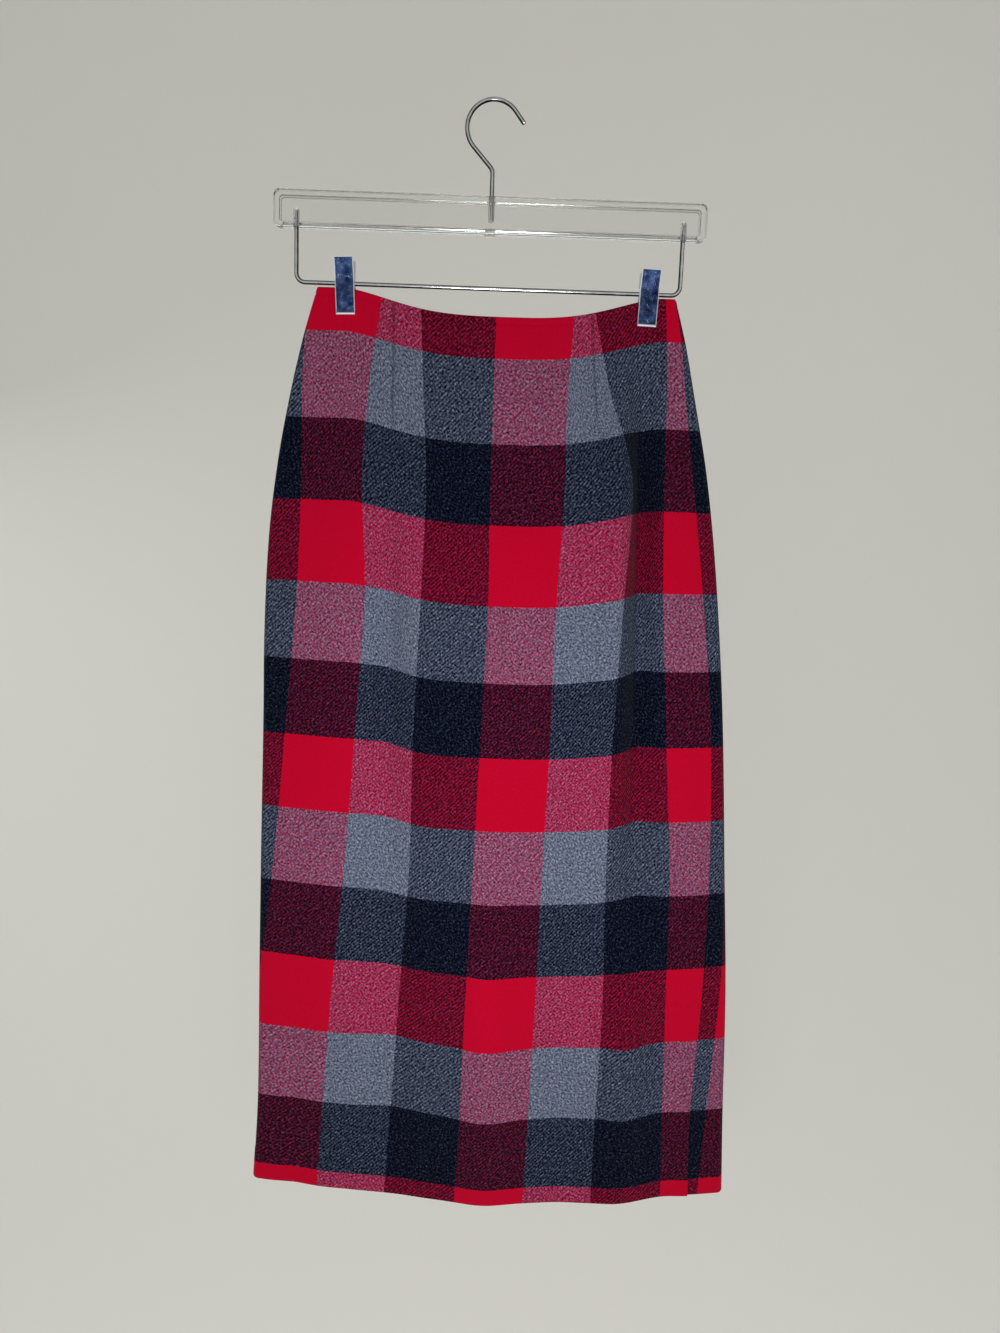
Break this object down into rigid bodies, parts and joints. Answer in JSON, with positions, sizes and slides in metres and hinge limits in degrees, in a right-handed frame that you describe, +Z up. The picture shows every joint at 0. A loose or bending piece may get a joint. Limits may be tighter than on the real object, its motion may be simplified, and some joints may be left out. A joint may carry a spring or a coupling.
{
  "type": "tartan wrap skirt on a clip hanger",
  "caption": "Long tartan wool wrap skirt with waist darts, hanging flat by its waist from a clear bar hanger with sliding metal clips.",
  "frame": {"origin": "highest inner point of the hanger hook, where it rests on a peg or rail", "axes": "+Z up, +X to the right of a viewer who faces the front of the skirt, -Y towards that viewer"},
  "size_m": [0.5045, 0.0771, 1.0945],
  "materials": {
    "tartan_wool": "brushed wool twill in a red, grey and black block check",
    "clear_bar": "clear moulded plastic with a raised rim",
    "bright_wire": "bright plated steel wire",
    "clip_metal": "bright plated pressed steel with fine scratches"
  },
  "bodies": {
    "root": {"front_panel": "tartan_wool", "under_panel": "tartan_wool", "back_panel": "tartan_wool", "hanger_bar": "clear_bar", "hook": "bright_wire", "lower_wire": "bright_wire", "left_clip_front": "clip_metal", "left_clip_back": "clip_metal", "left_clip_spring": "clip_metal", "right_clip_front": "clip_metal", "right_clip_back": "clip_metal", "right_clip_spring": "clip_metal"}
  },
  "joints": []
}
